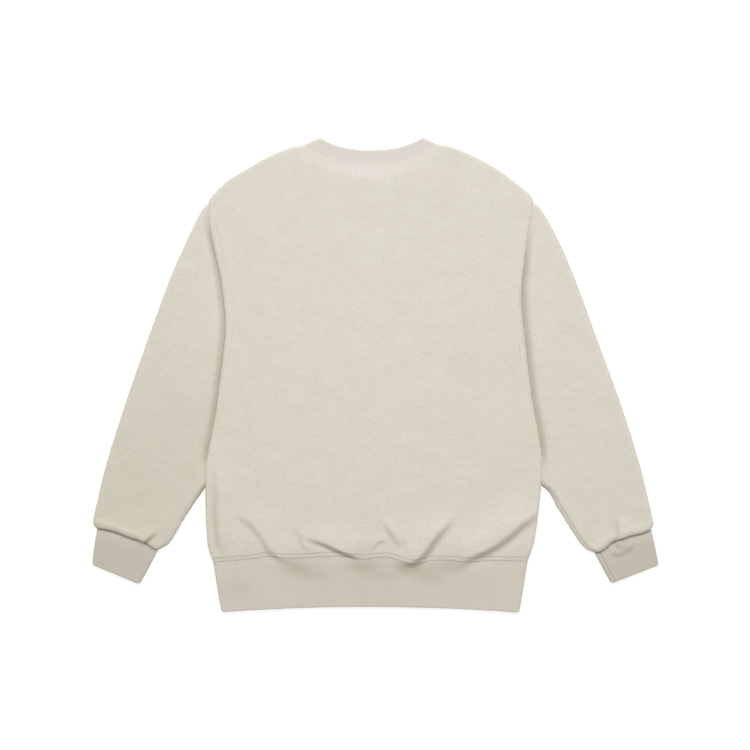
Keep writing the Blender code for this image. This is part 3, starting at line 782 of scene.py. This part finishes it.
# hem, neck band and cuffs: flattened rings of rib knit
bandLook = {
    "sharpness": 0.55,  # under 1 makes broad tops and narrow grooves
    "loose": (0.35, 1.6),  # how unevenly the ribs stand, over how many ribs
    "roll": 1.1,  # radius of the free edge
    "strayReach": 22,  # how far down the waves of the seam show
    "tuckReach": 8,
    "liftReach": 9,  # how far down the folds of the fleece show in full
    "shadeReach": 3.0,
    # underarm seam strip on the cuff: place, width and depth of its groove, and its painted shade
    "strip": {"place": 7.0, "width": 1.1, "depth": 0.7, "shade": 0.4},
}


def bandPlace(band):
    look, seamStrip, roll = bandLook, bandLook["strip"], bandLook["roll"]
    seam, edge = np.array(band["seam"], float), np.array(band["edge"], float)

    def place(u, v):
        v = spread(v, 0.12, 0.02)
        share, upper = roundTube(u)
        fromSeam, fromEdge = v * band["length"], (1 - v) * band["length"]
        down = v[:, None]
        low, high = (seam[k] * (1 - down) + edge[k] * down for k in (0, 1))
        width = np.linalg.norm(high - low, axis=1)
        across = (high - low) / width[:, None]
        upwards = np.stack([-across[:, 1], across[:, 0]], -1) * band["turn"]
        bow = []
        for drops, powers in zip(band["drops"], band["powers"]):
            hang = [d * (1 - np.abs(2 * share - 1) ** p) for d, p in zip(drops, powers)]
            bow.append(hang[0] * (1 - v) + hang[1] * v)
        # the seam follows the fleece and lies a little under it
        inside = np.minimum(share, 1 - share) * width
        stray = band["stray"](low[:, 0] + across[:, 0] * share * width, share)
        stray = stray * bell(fromSeam, look["strayReach"]) + band["under"] * (1 - v) ** 8
        stray = stray * (band["below"] + (1 - band["below"]) * upper * smoothStep(inside / 4))
        plan = low + across * (share * width)[:, None]
        plan = plan - upwards * (np.where(upper, *bow) - stray)[:, None]
        # the free corners are rounded
        aside = np.clip(band["corner"] - inside, 0, None)
        cut = band["corner"] - np.sqrt(band["corner"] ** 2 - aside**2)
        plan = plan + upwards * (cut * v**3)[:, None]
        height = roundedHeight(share, width, np.minimum(band["foldRadius"], 0.45 * width))
        fold, rise = (band[k][0] * (1 - v) + band[k][1] * v for k in ("fold", "rise"))
        rib = (0.5 + 0.5 * np.cos(2 * np.pi * u * band["ribs"])) ** look["sharpness"]
        loose, size = look["loose"]
        loose = loose * unevenness(np.stack([share * band["ribs"], v * 5], -1), size, 5)
        rib = rib * (1 + loose) - 0.1
        valley = band["relief"] * (1 - rib)
        rollIn = roll * (1 - np.sqrt(1 - np.clip(1 - fromEdge / roll, 0, 1) ** 2))
        held = waveAt(band["held"], share)
        tuck = band["tuck"] * held * bell(fromSeam, look["tuckReach"])
        lift, paintedShade = foldsAt(plan)
        dents, dentShade = dentsAt(plan)
        # level with the fleece at the seam, with its own waves further down
        waves = (1 - v) * (fleeceRelief(plan, 3)[1] + band["air"] * smoothStep(inside / 70))
        waves = waves + v * (0.4 * unevenness(plan, 22.0, 15) + 0.9 * unevenness(plan, 55.0, 16))
        settled = band["settled"] + (1 - band["settled"]) * bell(fromSeam, look["liftReach"])
        strip = band["strip"] * groove(share * width, seamStrip["place"], seamStrip["width"])
        top = rise + waves + lift * settled + dents - valley - rollIn - tuck
        top = top - seamStrip["depth"] * strip
        # painted shade from the folds, the dents, the strip and the seam
        paintedShade = (0.25 * paintedShade + dentShade + seamStrip["shade"] * strip
                  + band["seamShade"] * held * bell(fromSeam, look["shadeReach"]))
        if band["dips"]:
            top = top - neckDip(plan)
        z = fold + height * np.where(upper, top, -fold + 0.3 + valley + rollIn)
        side = (valley + rollIn) * (1 - height) * np.where(share < 0.5, 1, -1)
        points = np.column_stack([plan + across * side[:, None], z])
        return points, np.clip(1 - rib, 0, 1), paintedShade * upper

    return place


# drops and powers: the bow of the upper and of the lower layer, each at the seam and at the edge
hemBand = {
    "seam": ((-235.8, -273.4), (222.4, -272.0)), "edge": ((-224.8, -345.8), (211.2, -346.4)),
    "drops": ((-5.0, -8.0), (-5.0, -8.0)), "powers": ((2, 2), (2, 2)), "length": 73.0, "turn": 1,
    "fold": (4.2, 2.8), "rise": (3.35, 2.9), "foldRadius": 5.0, "corner": 5.0, "wall": 2.0,
    "ribs": 200, "relief": 0.22, "columns": 1600, "rows": 26,
    "settled": 0.3, "dips": False, "tuck": 0.2, "under": 2.0, "below": 0, "air": 1.2,
    "strip": 0, "seamShade": 0.04, "held": ((0, 1), (1, 1)), "stray": lambda x, share: hemStray(x),
}
neckBand = {
    # its ends reach a little under the shoulders
    "seam": ((-105.9, 334.0), (92.6, 335.5)), "edge": neckShape["edge"],
    "drops": (neckShape["backDrop"], neckShape["frontDrop"]),
    "powers": (neckShape["backPower"], neckShape["frontPower"]), "length": 15.0, "turn": 1,
    "fold": (4.4, 3.8), "rise": (4.55, 4.0), "foldRadius": 5.0, "corner": 0.0, "wall": 2.0,
    "ribs": 100, "relief": 0.14, "columns": 800, "rows": 12,
    "settled": 1.0, "dips": True, "tuck": 0.0, "under": -2.2, "below": 0, "air": 1.2,
    "strip": 0, "seamShade": 0.0, "held": ((0, 1), (1, 1)), "stray": lambda x, share: 0 * x,
}
cuffBand = {
    "drops": ((0, 0), (0, 0)), "powers": ((2, 2), (2, 2)), "length": 54.0,
    "fold": (4.0, 2.9), "rise": (3.4, 3.0), "foldRadius": 5.0, "corner": 5.0, "wall": 1.8,
    "ribs": 42, "relief": 0.2, "columns": 336, "rows": 24,
    "settled": 0.8, "dips": False, "tuck": 2.4, "under": 1.0, "below": 1, "air": 0.0,
    "seamShade": 0.34,
}
leftCuff = {
    **cuffBand, "seam": leftSleeve["cuffSeam"], "edge": leftSleeve["cuffEdge"], "turn": -1,
    "held": ((0, 0.25), (0.3, 0.3), (0.42, 1), (1, 1)),  # how far the seam pulls it down and how dark its painted shade is, by share
    "strip": 0, "stray": lambda x, share: waveAt(leftSleeve["endWave"], share),
}
rightCuff = {
    **cuffBand, "seam": rightSleeve["cuffSeam"], "edge": rightSleeve["cuffEdge"], "turn": 1,
    "held": ((0, 0.9), (1, 0.9)),
    "strip": 1, "stray": lambda x, share: waveAt(rightSleeve["endWave"], share),
}
for name, node, band, knit, flat, area in (
    ("hemBandKnit", "hem_rib", hemBand, hemKnit, (0.93, 0.075), 0.066),
    ("neckBandKnit", "neck_rib", neckBand, neckKnit, (0.48, 0.024), 0.0105),
    ("leftCuffKnit", "cuff_left", leftCuff, cuffKnit, (0.19, 0.056), 0.0092),
    ("rightCuffKnit", "cuff_right", rightCuff, cuffKnit, (0.18, 0.056), 0.0088),
):
    ring = gridPiece(name, band["columns"], band["rows"], bandPlace(band), knit,
                     band["wall"])
    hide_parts(node)
print("bands made")

# stitches: small threads along the hem seam and the armholes
stitch = {"length": 2.4, "gap": 0.9, "width": 0.5, "height": 0.4, "above": 0.05}


def stitchRow(bm, line, surface):
    length = lengthAlong(line)[-1]
    count = int(length / (stitch["length"] + stitch["gap"]))
    share = (np.arange(count) + 0.5) / count
    middle, ahead = onLine(line, share), onLine(line, share + 0.002)
    for (x, y, z), (dx, dy) in zip(surface(middle), ahead - onLine(line, share - 0.002)):
        placed = Matrix.Translation((x * mm, y * mm, z * mm))
        turned = Matrix.Rotation(math.atan2(dy, dx), 4, "Z")
        size = [stitch[k] / 2 for k in ("length", "width", "height")]
        bmesh.ops.create_uvsphere(bm, u_segments=6, v_segments=4, radius=mm,
                                  matrix=placed @ turned @ Matrix.Diagonal((*size, 1)))


def onBack(plan):
    points = backSurface(plan)[0]
    points[:, :2] = plan
    return points + np.array([0, 0, stitch["above"]])


sewn = bmesh.new()
armholePart = slice(int(0.5 * shoulderPoint), shoulderPoint - 4)
for distance in bodyCloth["hemRows"]:
    stitchRow(sewn, asideLine(backHem, distance)[3:-3], onBack)
for distance in bodyCloth["armhole"]["rows"]:
    stitchRow(sewn, asideLine(leftFold[armholePart], -distance), onBack)
    stitchRow(sewn, asideLine(rightFold[armholePart], distance), onBack)
threads = meshPiece("stitchRows", sewn, thread)
print("stitches made")


# floor, camera and light
def stageFloor():
    bm = bmesh.new()
    bmesh.ops.create_grid(bm, x_segments=1, y_segments=1, size=12.0)
    mesh = bpy.data.meshes.new("floor")
    bm.to_mesh(mesh)
    bm.free()
    floor = bpy.data.objects.new("floor", mesh)
    bpy.context.scene.collection.objects.link(floor)
    material = bpy.data.materials.new("paleFloor")
    material.use_nodes = True
    shader = material.node_tree.nodes["Principled BSDF"]
    shader.inputs["Base Color"].default_value = (0.25, 0.25, 0.25, 1)
    shader.inputs["Roughness"].default_value = 0.9
    shader.inputs["Emission Color"].default_value = (1, 1, 1, 1)
    shader.inputs["Emission Strength"].default_value = 0.8
    mesh.materials.append(material)


view = {"height": 3.2, "frame": 1.095, "aim": (0.0, 0.0)}
lights = {
    "suns": (
        # from, angle, strength, colour
        ((0.6, 0.87, 0.95), 24.0, 0.98, (1.0, 0.985, 0.94)),
        ((-0.6, 0.87, 0.95), 24.0, 0.92, (1.0, 0.985, 0.94)),
    ),
    "panels": (
        # place, size, power, colour
        ((0.06, 0.45, 1.05), 0.7, 3.5, (0.88, 0.96, 1.3)),
    ),
    "sky": 0.38,
}


def addLamp(name, kind, strength, colour, place, towards):
    data = bpy.data.lights.new(name, kind)
    data.energy = strength
    data.color = colour
    lamp = bpy.data.objects.new(name, data)
    bpy.context.scene.collection.objects.link(lamp)
    lamp.location = place
    lamp.rotation_euler = Vector(towards).to_track_quat("Z", "Y").to_euler()
    return data


def stageView():
    camera = bpy.data.objects.new("camera", bpy.data.cameras.new("camera"))
    bpy.context.scene.collection.objects.link(camera)
    camera.location = (*view["aim"], view["height"])
    camera.data.sensor_width = 36
    camera.data.lens = 36 * view["height"] / view["frame"]
    bpy.context.scene.camera = camera
    for place, angle, strength, colour in lights["suns"]:
        addLamp("softSun", "SUN", strength, colour, place, place).angle = math.radians(angle)
    for place, size, power, colour in lights["panels"]:
        addLamp("panel", "AREA", power, colour, place, place).size = size
    world = bpy.data.worlds.new("sky")
    world.use_nodes = True
    world.node_tree.nodes["Background"].inputs["Color"].default_value = (1, 1, 1, 1)
    world.node_tree.nodes["Background"].inputs["Strength"].default_value = lights["sky"]
    bpy.context.scene.world = world
    bpy.context.scene.view_settings.view_transform = "Standard"


stageFloor()
stageView()
print("stage made")
